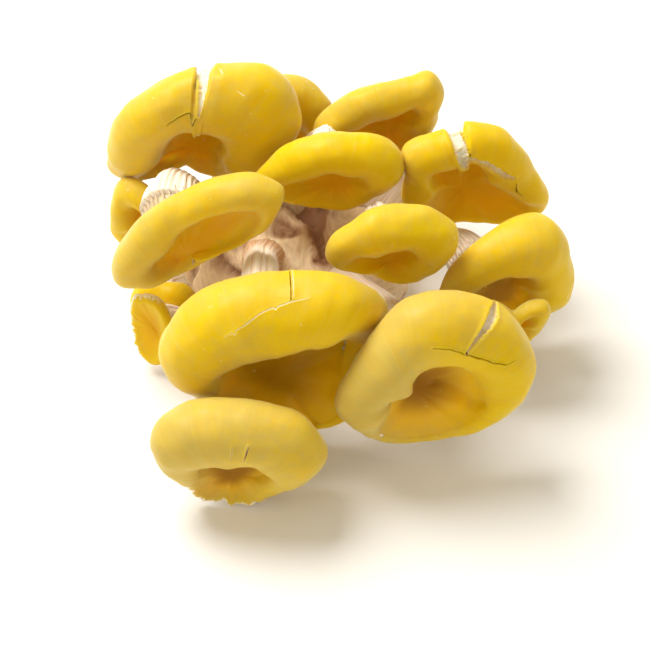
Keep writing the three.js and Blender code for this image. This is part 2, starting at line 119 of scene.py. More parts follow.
# The same table as the solids are made from: pit, way the top faces, rim by the clock's hours as
# (hour, reach, width of the roll, rise of the crest), seat and drop of the neck, and the stem's lead
# out of the neck, its root in the butt and the way it leans.
MUSHROOMS = {
    "front_right": dict(
        pit=(30, -53.7, 24), faces=(5, 22), spin=0, seat=(-1, 8), drop=8,
        neck=6, flesh=3.4, lead=0.5, root=(15, -19, 18), lean=(0, 0, 0),
        rim=[
            (0, 26, 19, 12), (1, 29, 19, 12), (2, 31, 17, 11), (3, 29, 13, 8), (4, 23, 7, 3),
            (5, 18, 4, 0.5), (6, 17, 3, -1), (7, 17.5, 4, 0.5), (7.8, 17, 7, 6), (8.4, 18, 11, 10),
            (9, 20, 13, 11), (10, 18.5, 15, 12), (11, 20.5, 18, 12),
        ],
    ),
    "front_middle": dict(
        pit=(-4.5, -48.8, 22), faces=(0, 18), spin=0, seat=(-4, 18), drop=9,
        neck=6, flesh=3.4, lead=0.5, root=(-10, -4, 21), lean=(4, -8, 0),
        rim=[
            (0, 30.5, 21, 13), (0.7, 32.5, 21, 13), (1.2, 34.5, 20, 12), (1.7, 34, 15, 5),
            (2.2, 31, 12, -1), (2.8, 25, 9, -3), (3.5, 22, 6, -3), (4.2, 23.5, 5, -1), (5, 20, 4, -1),
            (6, 16, 4, 0), (7, 16, 4, 1), (8, 17, 5, 3), (8.7, 21, 8, 6), (9.2, 27, 14, 10),
            (9.8, 31, 18, 12), (10.5, 31, 20, 13), (11.2, 30.5, 21, 13),
        ],
    ),
    "front_low": dict(
        pit=(-15.5, -69.7, 9.1), faces=(-3, 20), spin=0, seat=(-6, 7), drop=7,
        neck=5, flesh=3, lead=0.08, root=(-10, -22, 8), lean=(-12, 0, -8),
        rim=[
            (0, 24, 17.5, 13), (0.8, 25, 17.5, 13), (1.5, 27, 18, 12.5), (2.1, 26.5, 16.5, 11),
            (2.7, 21.5, 14, 7), (3.3, 14, 8, 4), (4.2, 10.5, 4, 2), (5, 10.5, 3, 1), (5.7, 9.5, 3, 0.5),
            (7, 10.2, 3, 0.5), (7.8, 12.3, 3, 0.5), (8.4, 13, 4, 2), (8.9, 14, 6, 4), (9.5, 18, 10, 7),
            (10.3, 24, 15.5, 10.5), (11, 24.7, 17, 12),
        ],
    ),
    "left": dict(
        pit=(-27.5, -16.5, 32), faces=(-5, 10), spin=30, seat=(0, 10), drop=8,
        neck=7.6, flesh=3, lead=0.6, root=(-23, 4, 19), lean=(-4, 0, 5),
        rim=[
            (0.3, 19, 11, 10), (0.9, 22, 11, 10), (1.4, 26, 11, 9.5), (1.8, 30, 11, 9),
            (2.2, 34, 11, 9), (2.5, 35, 10, 8), (2.9, 27, 8, 6), (3.4, 11, 6, 3), (4.2, 5.5, 4, 2),
            (5.5, 4.5, 3, 1), (7, 5.5, 3, 1), (8, 8, 4, 2), (8.7, 14, 8, 6), (9.5, 19, 11, 9),
            (10.3, 18, 11, 10), (11, 17, 11, 10), (11.7, 17.5, 11, 10),
        ],
    ),
    "middle": dict(
        pit=(10.5, 2, 38), faces=(0, 10), spin=0, seat=(-3, 9), drop=6,
        neck=4, flesh=3, lead=0.36, root=(3, 12, 24), lean=(-9, -6, 0),
        rim=[
            (0.3, 19, 11.5, 9.5), (0.9, 20, 12, 9.5), (1.5, 21, 12, 9), (2.1, 20, 11, 8),
            (2.8, 15, 8, 5), (3.6, 10, 5, 3), (5, 8, 4, 2), (6, 7.5, 4, 2), (7, 8, 4, 2),
            (8, 11, 4, 2.5), (8.6, 15, 5, 4), (9.2, 22, 6, 5), (9.8, 20.5, 9, 7.5), (10.5, 19.5, 11, 9),
            (11.3, 19, 11, 9.5),
        ],
    ),
    "middle_right": dict(
        pit=(24, -22, 35), faces=(5, 15), spin=0, seat=(-1, 8), drop=7,
        neck=4.5, flesh=3, lead=0.35, root=(18, 1, 18), lean=(3, -4, 0),
        rim=[
            (0.4, 19, 12, 10), (1.1, 20, 12, 9.5), (1.8, 20, 12, 9), (2.4, 17.5, 11, 7),
            (3.2, 13, 8, 5), (4, 10, 6, 3), (5, 7.5, 4, 2), (6, 6, 3.5, 1.5), (7, 5, 3, 1.5),
            (8, 5, 3, 2), (8.9, 9, 4, 4), (9.6, 17, 7, 6), (10.2, 18.5, 9, 8), (10.9, 17.5, 11, 9.5),
            (11.6, 18.5, 12, 10),
        ],
    ),
    "right": dict(
        pit=(53.5, -19, 18), faces=(15, 12), spin=0, seat=(-6, 8), drop=8,
        neck=6, flesh=3.4, lead=0.5, root=(24, -4, 16), lean=(0, 0, 0),
        rim=[
            (0.4, 26.5, 16, 12), (0.8, 27.5, 17, 12), (1.3, 25, 16, 11), (1.8, 21.5, 14, 10),
            (2.4, 19.5, 12, 9), (3, 18, 11, 8), (3.6, 16, 9, 6), (4.2, 13, 7, 4), (5, 10, 5, 2),
            (6, 8, 4, 1), (7, 8, 3.5, 1), (8, 11, 4, 3), (9, 17, 5, 6), (9.7, 20, 7, 8),
            (10.4, 21, 9, 9), (11.2, 22.5, 11, 10), (11.8, 24, 13, 11),
        ],
    ),
    "right_back": dict(
        pit=(43.5, 6.5, 32), faces=(10, 12), spin=-5, seat=(-2, 4), drop=7,
        neck=6, flesh=3.4, lead=0.5, root=(20, 9, 16), lean=(0, 0, 0),
        rim=[
            (0, 23, 11, 10), (0.8, 21.5, 12, 10), (1.5, 20, 12, 10), (2.2, 20, 12, 9), (3, 23, 10, 8),
            (3.4, 24, 7, 5), (4, 20, 5, 3), (5, 12, 4, 2), (6, 10, 3.5, 1.5), (7, 12, 3.5, 2),
            (8, 15, 5, 4), (9, 16.5, 8, 7), (9.8, 18, 10, 9), (10.5, 24, 11, 10), (11.3, 22, 11, 10),
        ],
    ),
    "back_left": dict(
        pit=(-25.5, 18.5, 36), faces=(-5, 10), spin=0, seat=(0, 6), drop=8,
        neck=6, flesh=3.4, lead=0.65, root=(-11, 13, 18), lean=(-9, 2, -4),
        rim=[
            (0, 26, 17, 13), (0.7, 29, 20, 13), (1.4, 31.5, 23, 12.5), (2.2, 29.5, 23, 11.5),
            (3, 23, 18, 9), (4, 15.5, 10, 5), (5, 11, 5, 2), (6, 9, 3.5, 1), (7, 8, 4, 1),
            (7.8, 14, 7, 4), (8.5, 25, 13, 9), (8.9, 24, 14, 12), (9.5, 24, 15, 13),
            (10.5, 24, 15, 13.5), (11.3, 25, 15, 13.5),
        ],
    ),
    "back_middle": dict(
        pit=(-3, 34, 28.5), faces=(10, 10), spin=0, seat=(0, 3), drop=7,
        neck=5, flesh=3, lead=0.6, root=(1, 20, 12), lean=(0, 5, -6),
        rim=[
            (0, 18.5, 12, 10), (1.5, 15.5, 12, 10), (3, 13, 9, 7), (4.5, 10, 6, 4), (6, 8, 4, 2),
            (7.5, 10, 6, 4), (9, 15, 10, 8), (10.5, 18, 12, 10),
        ],
    ),
    "back_right": dict(
        pit=(24, 27.5, 34), faces=(10, 8), spin=10, seat=(0, 3), drop=7,
        neck=5, flesh=3, lead=0.5, root=(12, 17, 16), lean=(0, 4, -4),
        rim=[
            (0, 17, 10, 9), (0.5, 17.5, 10, 9), (1, 19.5, 10, 9), (1.4, 22, 11, 9), (1.9, 20, 10, 8),
            (2.5, 15, 9, 7), (3.4, 13, 7, 5), (4.5, 11, 5, 3), (6, 10, 4, 2), (7.5, 11, 5, 3),
            (9, 17, 8, 7), (10, 21, 9, 9), (10.6, 19, 10, 9), (11.3, 18, 10, 9),
        ],
    ),
    "left_back": dict(
        pit=(-38, 7, 20), faces=(-25, 10), spin=0, seat=(0, 2), drop=5,
        neck=4, flesh=2.6, lead=0.5, root=(-20, 6, 12), lean=(0, 0, 0),
        rim=[
            (0, 13, 8, 8), (1.5, 8, 6, 6), (3, 7, 5.5, 5), (4.5, 7.5, 4.5, 3), (6, 10, 4, 3),
            (7.2, 12, 6, 6), (8, 11.5, 7, 7), (9, 10.5, 8, 8), (10, 12.5, 8, 8), (11, 15.5, 8, 8),
        ],
    ),
    "left_under": dict(
        pit=(-34.8, -12.5, 7), faces=(-10, 25), spin=0, seat=(0, 2), drop=4,
        neck=3.5, flesh=2.4, lead=0.5, root=(-22, -6, 8), lean=(0, 0, 0),
        rim=[
            (0, 8, 7, 6), (1.5, 10, 7, 6), (3, 9.2, 6, 4), (4.5, 7, 4, 2), (6, 6, 3, 2), (7.5, 7, 4, 2),
            (9, 9, 6, 5), (10.5, 10, 7, 6),
        ],
    ),
    "left_low": dict(
        pit=(-37, -25.7, 13), faces=(-30, 20), spin=0, seat=(0, 2), drop=4,
        neck=3.5, flesh=2.4, lead=0.2, root=(-19, -13, 7), lean=(3, -10, -4),
        rim=[
            (0, 11, 4, 2.5), (1.5, 8, 4, 2.5), (3, 7, 4, 2), (4.5, 8, 3.5, 1), (6, 11, 3, 0.5),
            (7, 10, 3, 0.5), (8, 8, 3, 0.5), (9, 8, 3, 1), (10.3, 10, 3.5, 2), (11, 12, 4, 2.5),
        ],
    ),
    "right_under": dict(
        pit=(56, -32.5, 22), faces=(10, 25), spin=0, seat=(0, 0), drop=4,
        neck=3, flesh=2.4, lead=0.08, root=(22, -13, 7), lean=(3, -14, -12),
        rim=[
            (0.9, 9, 6, 5), (1.6, 11, 6, 5), (2.5, 9, 6, 4), (3.5, 7, 4, 2), (4.5, 6, 3, 1),
            (6, 6, 3, 1), (8, 7, 4, 2), (9.5, 11.5, 6, 5), (10.7, 12, 6, 5), (11.9, 6, 5, 4),
        ],
    ),
}
SMALL = ("left_back", "left_under", "left_low", "right_under")

# How yellow each cap is, from dry straw at 0 to wet lemon at 1, and how much more on its right. The
# left side, towards the light, stays paler: partly its own colour and partly a painted sheen.
RIPENESS_AND_SHEEN = {
    "front_right": (0.45, 0.6), "front_middle": (0.85, 0.2), "front_low": (0.25, 0.4),
    "left": (0.62, 0.1), "middle": (1.15, 0), "middle_right": (1.0, 0.1), "right": (0.9, 0.3),
    "right_back": (1.0, 0.1), "back_left": (0.75, 0.25), "back_middle": (0.8, 0),
    "back_right": (0.8, 0.1), "left_back": (0.8, 0), "left_under": (1, 0), "left_low": (1.1, 0),
    "right_under": (0.8, 0),
}
# How much paler a cap is painted along the top of its roll: a painted highlight, most towards its
# back, where the light falls.
CREST_HIGHLIGHT = 0.3
# How dark and brown a cap's pit is painted: painted shade, reaching furthest below the crest. And
# how brown a stem is painted towards the butt: painted shade on the front middle stem, under its cap.
PIT_SHADE = {"front_right": 0.85, "front_middle": 0.65, "front_low": 0.8, "right": 0.6}
PLAIN_PIT_SHADE = 0.1
ROOT_BROWN_AND_SHADE = {"front_middle": 1.0}
PLAIN_ROOT_BROWN_AND_SHADE = 0.3

# How a margin comes and goes, as (degrees of roll, bumps in a radius's length of rim), and its nicks.
MARGIN_WAVES = ((5, 3), (2.5, 9))
NICK_DEGREES = 14
NICK_BUMPS = 14
NICK_LEVEL = 0.42
# Where a cap's margin is torn: (middle hour, spread in hours, degrees missing from the roll).
RAGGED = {
    "back_left": [(0.15, 0.2, 55)],
    "right_back": [(11.64, 0.26, 40)],
    "front_low": [(7.4, 1.5, 34), (5.1, 0.8, 26)],
    "left_low": [(9, 3.2, 22)],
    "left_under": [(7, 2, 15)],
    "front_middle": [(1.9, 0.3, 12)],
}
# The teeth of a torn margin: how much is missing on average, and (share, bumps) as for the waves.
TEETH_LEVEL = 0.6
TEETH = ((0.7, 5), (0.15, 18))
# Millimetres bitten out of a torn margin for each degree, and of white flesh that it shows.
BITE = 0.045
BARE_EDGE = 1.1

# Marks in the skin of a cap: kind, depth, height of the lips, and points of (hour, across, half
# width), where across is 0 at the pit, 1 where the roll starts and 2 at its end. Hours past 12 go on
# round the clock. Tears show pale flesh, cracks are painted dark brown inside as painted shade, and
# creases keep their skin.
MARKS = {
    "back_left": [
        ("tear", 1.4, 0.3, [
            (0.13, 2.0, 2.6), (0.15, 1.82, 1.7), (0.18, 1.64, 1.0), (0.2, 1.5, 0.5), (0.18, 1.42, 0.2),
        ]),
        ("crack", 0.6, 0.15, [
            (12.12, 1.43, 0.05), (11.8, 1.4, 0.11), (11.5, 1.36, 0.09), (11.25, 1.33, 0.04),
        ]),
        ("tear", 0.1, 0, [(0.42, 1.77, 0.06), (0.5, 1.7, 0.14)]),
        ("tear", 0.1, 0, [(0.85, 1.59, 0.05), (1.0, 1.57, 0.1)]),
    ],
    "right_back": [
        ("tear", 1.3, 0.35, [
            (11.6, 1.97, 1.6), (11.64, 1.7, 1.6), (11.67, 1.45, 1.5), (11.76, 1.28, 1.4),
            (12.1, 1.21, 1.0), (12.5, 1.24, 1.1), (13.0, 1.26, 1.1), (13.4, 1.31, 0.9), (13.7, 1.37, 0.35),
        ]),
        ("crack", 0.5, 0.2, [(14.0, 1.36, 0.06), (14.4, 1.32, 0.15), (14.7, 1.3, 0.06)]),
    ],
    "front_middle": [
        ("tear", 0.3, 0.15, [(0.24, 1.98, 0.1), (0.27, 1.8, 0.11), (0.3, 1.62, 0.08)]),
        ("crack", 0.7, 0.1, [(0.2, 1.98, 0.1), (0.23, 1.8, 0.11), (0.27, 1.6, 0.09)]),
        ("tear", 0.1, 0.1, [
            (12.55, 1.6, 0.04), (12.27, 1.59, 0.12), (12, 1.555, 0.14), (11.78, 1.52, 0.11),
            (11.4, 1.46, 0.09), (10.95, 1.44, 0.03),
        ]),
        ("crease", 1.1, 0, [(5, 0.35, 1.2), (5, 0.6, 1.5), (4.9, 0.9, 1.0)]),
    ],
    "front_right": [
        ("tear", 1.6, 0.3, [
            (1.38, 1.87, 0.15), (1.33, 1.78, 0.65), (1.29, 1.66, 1.1), (1.25, 1.56, 0.9),
            (1.2, 1.45, 0.5), (1.2, 1.33, 0.25),
        ]),
        ("crack", 0.8, 0.25, [
            (0.3, 1.38, 0.04), (0.9, 1.335, 0.1), (1.15, 1.33, 0.15), (1.52, 1.32, 0.22),
            (1.85, 1.33, 0.11), (2.05, 1.4, 0.07), (2.08, 1.48, 0.03),
        ]),
        ("crease", 1.0, 0, [(2.5, 0.25, 1.5), (3.2, 0.5, 2), (3.55, 0.75, 2), (3.5, 1.05, 1.2)]),
        ("tear", 0.25, 0.1, [(8.1, 0.6, 0.08), (7.95, 0.8, 0.15), (7.9, 1.02, 0.08)]),
        ("tear", 0.1, 0, [(7.08, 1.12, 0.3), (7.16, 1.18, 0.35)]),
    ],
    "front_low": [
        ("tear", 0.2, 0.15, [(0.2, 1.42, 0.05), (0.2, 1.36, 0.1), (0.21, 1.3, 0.05)]),
        ("tear", 0.25, 0.2, [(0.58, 1.44, 0.05), (0.6, 1.37, 0.2), (0.63, 1.28, 0.06)]),
        ("crack", 0.3, 0.0, [(0.6, 1.43, 0.04), (0.61, 1.37, 0.1), (0.63, 1.31, 0.04)]),
    ],
}
MARK_STEPS = 8
MARK_CUTS = 6
# How far past its edge a mark still moves the skin, and how its edge frays: (bump to bump, share).
MARK_ROOM = 0.8
FRAY = ((0.8, 0.35), (0.35, 0.25))

# How deep the pleats are that fan out from the pit, and their bumps in a millimetre of a circle that
# stands for the girth of every cap.
PLEATS = {"front_low": 0.42, "front_right": 0.6}
PLAIN_PLEATS = 0.3
SMALL_CAP_PLEATS = 0.12
PLEAT_COUNT = 0.17
FIBRE_RADIUS = 22
LEAST_SKIN = 0.35

# Creases in the butt: depth, and points of (x, y, z, half width). Besides being sunk, they are
# painted brown as painted shade.
BUTT_CREASES = [
    (3.6, [(-2, 11, 27, 3.0), (1.6, 4.3, 27.3, 2.5), (4.3, -0.2, 26.3, 1.2)]),
    (1.4, [(6.7, 6.7, 26.5, 0.8), (5.4, -3.2, 26, 1.1), (7.7, -10, 24, 0.7)]),
    (1.0, [(5.5, -11, 23.6, 0.4), (8.6, -11.6, 23, 0.4)]),
    (1.2, [(-22, -3, 23, 0.5), (-20, -9, 21, 0.9), (-14, -13, 21, 0.6)]),
    (0.9, [(-17, 2, 26, 0.4), (-13, -4, 26, 0.7), (-12, -9, 25.5, 0.4)]),
]
POCKET_DEPTH = 1.2
WRINKLE_HEIGHT = 0.3

# The light, the room and the camera, in metres and watts.
KEY_PLACE = Vector((-0.37, 0.33, 0.77))
KEY_AIM = Vector((0, -0.02, 0.02))
KEY_SIZE = 0.6
KEY_POWER = 9.7
KEY_COLOUR = (1.0, 0.985, 0.97)
ROOM_COLOUR = (1.0, 0.93, 0.79, 1)
ROOM_STRENGTH = 0.62
LOOK_AT = Vector((7.7, -30, 20)) * MM
ELEVATION = math.radians(50)
DISTANCE = 0.5


def mix(a, b, t):
    return a + (b - a) * t


def clamp(t):
    return min(max(t, 0.0), 1.0)


def ease(t):
    """0 to 1 with a soft start and a soft end."""
    t = clamp(t)
    return t * t * (3 - 2 * t)


def at_hour(rows, hour, column):
    """The value at an hour, on a curve through every row that doesn't swing past them."""
    count = len(rows)
    before = max((k for k in range(count) if rows[k][0] <= hour), default=-1)

    def span(k):
        return (rows[(k + 1) % count][0] - rows[k % count][0]) % 12

    def slope(k):
        return (rows[(k + 1) % count][column] - rows[k % count][column]) / span(k)

    def lean(k):
        product = slope(k - 1) * slope(k)
        return 0 if product <= 0 else 2 * product / (slope(k - 1) + slope(k))

    here, there = rows[before % count], rows[(before + 1) % count]
    t = ((hour - here[0]) % 12) / span(before)
    value = (2 * t + 1) * (1 - t) ** 2 * here[column] + (3 - 2 * t) * t ** 2 * there[column]
    return value + span(before) * (t * (1 - t) ** 2 * lean(before) - t ** 2 * (1 - t) * lean(before + 1))


def bezier(a, b, c, d, t):
    return a * (1 - t) ** 3 + b * 3 * t * (1 - t) ** 2 + c * 3 * t ** 2 * (1 - t) + d * t ** 3


def uneven(spot, lumps):
    """The height at a spot of noises laid over each other."""
    height = 0.0
    for spacing, high in lumps:
        height += noise.noise(spot / spacing) * high
    return height


def facing(degrees):
    return Vector((math.cos(math.radians(degrees)), math.sin(math.radians(degrees))))


class Cut:
    """A cap's section at one hour of its clock, in the plane of (distance from the axis, height)."""

    def __init__(self, mushroom, hour, trimmed=0.0, bitten=0.0):
        reach, width, rise = (at_hour(mushroom["rim"], hour % 12, column) for column in (1, 2, 3))
        reach -= bitten
        self.radius = width / 2
        self.centre = Vector((reach - self.radius, rise - self.radius))
        turn = ease((width - ROLL_WIDTH[0]) / (ROLL_WIDTH[1] - ROLL_WIDTH[0]))
        self.wall_angle = mix(*WALL_ANGLE, turn)
        self.gill_angle = mix(*GILL_ANGLE, turn)
        self.curl_angle = min(mix(*CURL_ANGLE, turn) + trimmed, self.gill_angle - LEAST_CURL)
        self.flesh = min(mushroom["flesh"], self.radius * FLESH_SHARE)
        self.bare = max(self.flesh * BARE_SHARE, min(self.flesh, BARE_LEAST))
        self.margin = min(MARGIN, self.flesh)
        self.wall_top = self.on_roll(0, self.wall_angle)
        self.up_the_wall = facing(self.wall_angle - 90)
        self.ring_step = self.radius * math.radians(self.wall_angle - self.curl_angle) / ROLL
        length = self.wall_top.length
        self.wall_pull = length * WALL_PULL
        room = (max(self.wall_top.y, 0) + WALL_SAG * length) / self.up_the_wall.y
        self.wall_end_pull = min(self.wall_pull, room)
        self.neck = Vector((mushroom["neck"], -mushroom["drop"]))
        self.down_the_gills = facing(self.gill_angle + 90)
        top = self.under(1, 1)
        length = (top - self.neck).length
        room = (max(top.y, 0) + mushroom["flesh"] + GILL_SAG * length) / -self.down_the_gills.y
        self.gill_pull = min(length * GILL_PULL, room)
        self.neck_pull = min(length * GILL_PULL, mushroom["drop"] - mushroom["flesh"] - NECK_CLEARANCE)

    def on_roll(self, depth, degrees):
        return self.centre + facing(degrees) * (self.radius - depth)

    def under(self, t, gill):
        """On the inside of the roll: gill is 0 between the blades and 1 at their edges."""
        depth = mix(self.margin, mix(self.bare, self.flesh, gill), clamp(2 * t))
        return self.on_roll(depth, mix(self.curl_angle, self.gill_angle, t))

    def at(self, ring, gill=0.0):
        if ring <= ROLL_START:
            end = self.wall_top - self.up_the_wall * self.wall_end_pull
            return bezier(Vector((0, 0)), Vector((self.wall_pull, 0)), end, self.wall_top, ring / WALL)
        if ring <= EDGE_START:
            return self.on_roll(0, mix(self.wall_angle, self.curl_angle, (ring - ROLL_START) / ROLL))
        if ring <= UNDER_START:
            half = self.margin / 2
            turn = math.pi * (ring - EDGE_START) / EDGE
            middle = self.on_roll(half, self.curl_angle)
            way = facing(self.curl_angle) * math.cos(turn) + facing(self.curl_angle - 90) * math.sin(turn)
            return middle + way * half
        if ring <= NECK_START:
            return self.under((ring - UNDER_START) / UNDER, gill)
        top = self.under(1, gill)
        end = self.neck - Vector((NECK_GILL * (1 - gill), 0))
        below = end + Vector((0, self.neck_pull))
        t = (ring - NECK_START) / NECK
        return bezier(top, top + self.down_the_gills * self.gill_pull, below, end, t)


def cap_frame(mushroom):
    """x to the cap's right, y to 12 o'clock and z the way its top faces."""
    right, up = (math.radians(angle) for angle in mushroom["faces"])
    z = Vector((math.sin(right) * math.cos(up), -math.cos(right) * math.cos(up), math.sin(up)))
    x = Vector((0, 0, 1)).cross(z).normalized()
    turned = Matrix((x, z.cross(x), z)).transposed().to_4x4()
    spin = Matrix.Rotation(math.radians(mushroom["spin"]), 4, "Z")
    return Matrix.Translation(mushroom["pit"]) @ turned @ spin


def round_the_clock(hour):
    angle = math.radians(hour * 30)
    return Vector((math.sin(angle), math.cos(angle)))


def hours_between(a, b):
    return abs((a - b + 6) % 12 - 6)


def grown(point):
    """A point as it grew: all that is near it sways the same way, and nothing sinks in the table."""
    sway = Vector()
    for spacing, far in SWAY:
        sway += noise.noise_vector(point / spacing) * far
    moved = point + sway
    moved.z = max(moved.z, min(point.z, OFF_THE_TABLE))
    return moved


class CapShape:
    """Where every part of one cap lies, by its hour and its ring along the section."""

    def __init__(self, name):
        self.mushroom = MUSHROOMS[name]
        self.seed = random.Random("margin " + name).uniform(0, 90)
        self.ragged = RAGGED.get(name, ())
        self.turned = cap_frame(self.mushroom)
        self.cuts = {}
        self.marks = [Mark(self, *mark) for mark in MARKS.get(name, ())]

    def trimmed(self, hour):
        """Degrees missing from the end of the roll, and how far a torn rim is bitten back."""
        place = round_the_clock(hour).to_3d() + Vector((0, 0, self.seed))
        missing = 0.0
        for degrees, bumps in MARGIN_WAVES:
            missing += degrees * noise.noise(place * bumps)
        nick = noise.noise(place * NICK_BUMPS + Vector((5, 5, 5)))
        missing += NICK_DEGREES * ease((nick - NICK_LEVEL) / 0.2)
        teeth = TEETH_LEVEL
        for share, bumps in TEETH:
            teeth += share * noise.noise(place * bumps)
        bitten = 0.0
        for middle, spread, depth in self.ragged:
            torn = depth * teeth * ease((1 - hours_between(hour, middle) / spread) * 3)
            missing += torn
            bitten += max(torn, 0) * BITE
        return missing, bitten

    def torn_edge(self, hour):
        """1 where the margin is torn, and 0 where it is whole."""
        away = [hours_between(hour, middle) / spread for middle, spread, _ in self.ragged]
        return max((ease((1.1 - share) * 4) for share in away), default=0.0)

    def cut(self, hour):
        key = round(hour % 12, 3)
        if key not in self.cuts:
            self.cuts[key] = Cut(self.mushroom, key, *self.trimmed(key))
        return self.cuts[key]

    def spot(self, hour, ring, gill=0.0):
        """Towards the neck, the section moves over to the seat."""
        if ring > NECK_END:
            flat = Vector((0, -self.mushroom["drop"]))
        else:
            flat = self.cut(hour).at(ring, gill)
        moved = ease((ring - NECK_START) / NECK)
        out = round_the_clock(hour) * flat.x + Vector(self.mushroom["seat"]) * moved
        return grown(self.turned @ Vector((out.x, out.y, flat.y)))


def ring_at(across):
    """The ring for a place across the skin: 0 at the pit, 1 where the roll starts, 2 at its end."""
    return across * WALL if across < 1 else ROLL_START + (across - 1) * ROLL


class Mark:
    """A tear, crack or crease in a cap's skin along points of (hour, across, half width)."""

    def __init__(self, shape, kind, depth, lip, points):
        self.kind, self.depth, self.lip = kind, depth, lip
        line = []
        for a, b in zip(points, points[1:]):
            line += [[mix(a[i], b[i], k / MARK_STEPS) for i in range(3)] for k in range(MARK_STEPS)]
        line.append(points[-1])
        self.widths = [width for _, _, width in line]
        self.spots = [shape.spot(hour % 12, ring_at(across)) for hour, across, _ in line]
        self.tree = kdtree.KDTree(len(self.spots))
        for k, spot in enumerate(self.spots):
            self.tree.insert(spot, k)
        self.tree.balance()
        self.sharp = kind in ("tear", "crack")
        self.reach = max(self.widths) * (2 if self.sharp else 2.5) + MARK_ROOM

    def away(self, spot):
        """How far a spot lies from the line, and how wide the mark is there."""
        nearest = self.tree.find(spot)[1]
        found = []
        for k in range(max(nearest - 1, 0), min(nearest + 1, len(self.spots) - 1)):
            start, step = self.spots[k], self.spots[k + 1] - self.spots[k]
            t = clamp((spot - start).dot(step) / max(step.length_squared, 1e-9))
            found.append(((spot - start - step * t).length, mix(self.widths[k], self.widths[k + 1], t)))
        return min(found)

    def at(self, spot):
        """How far the skin sinks at a spot, and how much of its flesh is bare."""
        away, width = self.away(spot)
        if away > self.reach or width <= 0:
            return 0.0, 0.0
        if not self.sharp:
            return self.depth * math.exp(-((away / width) ** 2)), 0.0
        fray = 1.0
        for spacing, share in FRAY:
            fray += share * noise.noise(spot / spacing)
        inside = ease((width * fray - away) / (0.3 * width + 0.1) + 0.5)
        floor = self.depth * min(1, 0.35 + width / max(self.widths))
        floor *= 1 + 0.25 * noise.noise(spot / 1.4)
        beside = (away - 1.3 * width - 0.1) / (0.45 * width + 0.25)
        lip = self.lip * math.exp(-beside * beside) * (1 - inside)
        return floor * inside - lip, inside


def spun(rings, sides):
    """A closed lantern of rings one unit apart round Z, from one pole to the other."""
    bm = bmesh.new()
    line = [bm.verts.new((0 if ring in (0, rings - 1) else 1, 0, -ring)) for ring in range(rings)]
    edges = [bm.edges.new(pair) for pair in zip(line, line[1:])]
    bmesh.ops.spin(
        bm, geom=line + edges, cent=(0, 0, 0), axis=(0, 0, 1), angle=math.tau, steps=sides, use_merge=True
    )
    bmesh.ops.remove_doubles(bm, verts=bm.verts, dist=1e-4)
    bmesh.ops.recalc_face_normals(bm, faces=bm.faces)
    return bm


class SkinAbove:
    """The finished skin of a cap, which all that grows beneath it keeps behind."""

    def __init__(self, verts):
        self.verts = [(vert.co.copy(), vert.normal.copy()) for vert in verts]
        self.tree = kdtree.KDTree(len(self.verts))
        for k, (spot, _) in enumerate(self.verts):
            self.tree.insert(spot, k)
        self.tree.balance()

    def below(self, spot, least):
        """The spot, moved to lie at least so far beneath the skin near it."""
        place, normal = self.verts[self.tree.find(spot)[1]]
        depth = (place - spot).dot(normal)
        near = (place - spot).length < 4
        return spot - normal * max(least - depth, 0) if near else spot


def ring_and_hour(place):
    """Where a vertex of a lantern stands in it."""
    hour = math.degrees(math.atan2(place.x, place.y)) / 30 % 12
    return -place.z, hour


def finished(bm, name, material, node):
    """The mesh in metres as a smooth piece that stands for its solid."""
    bmesh.ops.scale(bm, vec=(MM, MM, MM), verts=bm.verts)
    mesh = bpy.data.meshes.new(name)
    bm.to_mesh(mesh)
    bm.free()
    mesh.shade_smooth()
    piece = bpy.data.objects.new(name, mesh)
    bpy.context.scene.collection.objects.link(piece)
    mesh.materials.append(material)
    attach(piece, "root")
    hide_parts(node)


def finer_near_marks(bm, shape):
    """Splits the lantern's faces where a mark will cross them, so that it has room for its shape."""
    bm.edges.index_update()
    crossed = set()
    for face in bm.faces:
        ring, hour = ring_and_hour(face.calc_center_median())
        if 1 < ring < EDGE_START:
            spot = shape.spot(hour, ring)
            if any(mark.away(spot)[0] < mark.reach * 0.8 for mark in shape.marks if mark.sharp):
                crossed.update(edge.index for edge in face.edges)
    edges = [edge for edge in bm.edges if edge.index in crossed]
    bmesh.ops.subdivide_edges(bm, edges=edges, cuts=MARK_CUTS, use_grid_fill=True)


def paint_cap(bm, name, shape):
    """Masks on the lantern for the material, painted shade in the pit and a painted highlight on the crest
    among them, and where each vertex lies along the fibres.
    """
    masks = [bm.verts.layers.float.new(mask) for mask in ("hollow", "pit", "gill", "torn", "crack_shade", "ripe_and_highlight")]
    hollow, pit, gill, torn, _, ripe_and_highlight = masks
    fibre = bm.verts.layers.float_vector.new("fibre")
    yellow, to_right = RIPENESS_AND_SHEEN[name]
    for vert in bm.verts:
        ring, hour = ring_and_hour(vert.co)
        way = round_the_clock(hour)
        vert[hollow] = 1 - ease(ring / (ROLL_START + ROLL * 0.15))
        # Painted shade: the pit is painted brown, furthest up the wall under the crest at 12 o'clock.
        under_crest = ring / WALL * (1 - 0.45 * way.y)
        vert[pit] = PIT_SHADE.get(name, PLAIN_PIT_SHADE) * (1 - ease((under_crest - 0.1) / 0.65))
        vert[gill] = ease((ring - EDGE_START + 1.2) / 3)
        # Painted highlight: the top of the roll is painted paler, most towards 12 o'clock, facing the
        # light.
        crest = ease((ring - ROLL_START - 0.35 * ROLL) / (0.5 * ROLL)) * clamp(way.y + 0.4)
        vert[ripe_and_highlight] = yellow + to_right * way.x * clamp(ring / WALL) - CREST_HIGHLIGHT * crest
        vert[fibre] = (way.x * FIBRE_RADIUS, way.y * FIBRE_RADIUS, ring * 0.7)
        step = shape.cut(hour).ring_step
        frayed = (BARE_EDGE + BARE_EDGE * noise.noise(Vector((*vert[fibre].xy, shape.seed)))) / step
        vert[torn] = shape.torn_edge(hour) * ease((ring - EDGE_START + frayed) * step / 0.3)


